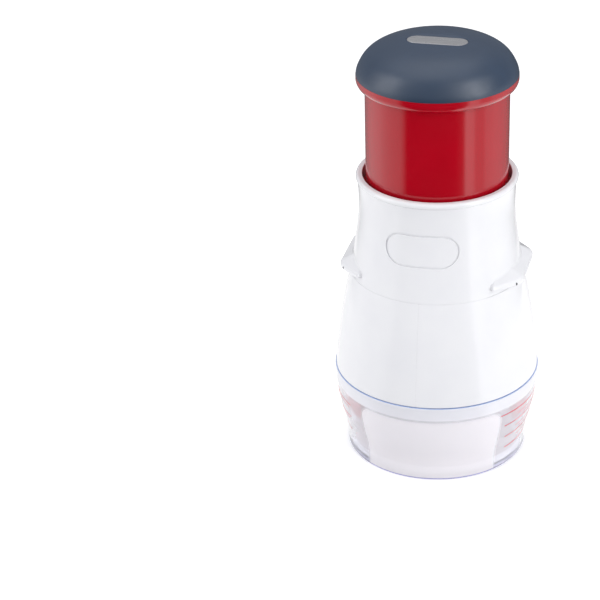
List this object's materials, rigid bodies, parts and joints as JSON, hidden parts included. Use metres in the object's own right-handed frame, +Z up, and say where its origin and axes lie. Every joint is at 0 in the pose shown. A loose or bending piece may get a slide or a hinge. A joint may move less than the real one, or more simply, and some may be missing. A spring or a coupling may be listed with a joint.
{
  "type": "plunger food chopper",
  "caption": "Press-down food chopper: clear measuring cup, white swing-open housing, sprung knob and sleeve that drive an indexing zigzag blade through a wiper.",
  "frame": {"origin": "centre of the cup's foot, on the surface it stands on", "axes": "+Z up along the knob's stroke, the front with the oval outline faces -Y, the hinge ears lie on +X and -X"},
  "size_m": [0.1046, 0.1046, 0.2204],
  "materials": {
    "clear_plastic": "clear moulded plastic, polished, with a frosted front",
    "disc_plastic": "fine matt",
    "white_gloss": "glossy moulded",
    "white_inner": "satin moulded",
    "red_gloss": "glossy moulded",
    "red_wiper": "glossy moulded",
    "knob_soft": "satin soft-touch",
    "inlay_steel": "brushed along its length",
    "blade_steel": "ground",
    "shaft_steel": "drawn bar",
    "spring_steel": "drawn wire",
    "pin_steel": "plain",
    "grey_acetal": "natural acetal",
    "bump_rubber": "matt"
  },
  "bodies": {
    "cup": {"clear_cup": "clear_plastic", "chopping_disc": "disc_plastic"},
    "head": {"upper_housing": "white_gloss", "hinge_pins": "pin_steel", "blade_frame": "white_inner", "base_ring": "white_inner", "frame_screws": "pin_steel", "ring_screws": "pin_steel", "ratchet_ring": "grey_acetal", "drive_nut": "grey_acetal", "hub_cover": "white_inner", "return_spring": "spring_steel"},
    "shell_right": {"shell_right": "white_gloss"},
    "shell_left": {"shell_left": "white_gloss"},
    "plunger": {"plunger_sleeve": "red_gloss", "knob_core": "white_inner", "core_screws": "pin_steel", "shaft_bushes": "grey_acetal", "knob_cap": "knob_soft", "knob_inlay": "inlay_steel"},
    "blades": {"drive_shaft": "shaft_steel", "thrust_ring": "grey_acetal", "retaining_washer": "pin_steel", "retaining_screw": "pin_steel", "carrier_screw": "pin_steel", "blade_carrier": "white_inner", "zigzag_blade": "blade_steel", "bump_ring": "bump_rubber"},
    "wiper": {"wiper": "red_wiper"}
  },
  "joints": [
    {"name": "head_lift", "type": "slide", "parent": "cup", "child": "head", "axis": [0, 0, 1], "range_m": [0, 0.11]},
    {"name": "plunger_press", "type": "slide", "parent": "head", "child": "plunger", "axis": [0, 0, -1], "range_m": [0, 0.04], "stiffness_N_per_m": 350, "springref_m": -0.02, "deforming": ["return_spring"]},
    {"name": "blade_turn", "type": "hinge", "parent": "plunger", "child": "blades", "pos_m": [0, 0, 0.1], "axis": [0, 0, 1], "range_deg": [0, 45]},
    {"name": "wiper_turn", "type": "hinge", "parent": "head", "child": "wiper", "pos_m": [0, 0, 0.042], "axis": [0, 0, 1], "range_deg": [0, 45]},
    {"name": "shell_right_swing", "type": "hinge", "parent": "head", "child": "shell_right", "pos_m": [0.0432, 0, 0.1027], "axis": [0, -1, 0], "range_deg": [0, 40]},
    {"name": "shell_left_swing", "type": "hinge", "parent": "head", "child": "shell_left", "pos_m": [-0.0432, 0, 0.1027], "axis": [0, 1, 0], "range_deg": [0, 40]}
  ],
  "couplings": [
    {"joint": "blade_turn", "follows": "plunger_press", "rad_per_m": 19.635},
    {"joint": "wiper_turn", "follows": "plunger_press", "rad_per_m": 19.635},
    {"joint": "shell_right_swing", "follows": "head_lift", "rad_per_m": 6.3467},
    {"joint": "shell_left_swing", "follows": "head_lift", "rad_per_m": 6.3467}
  ]
}
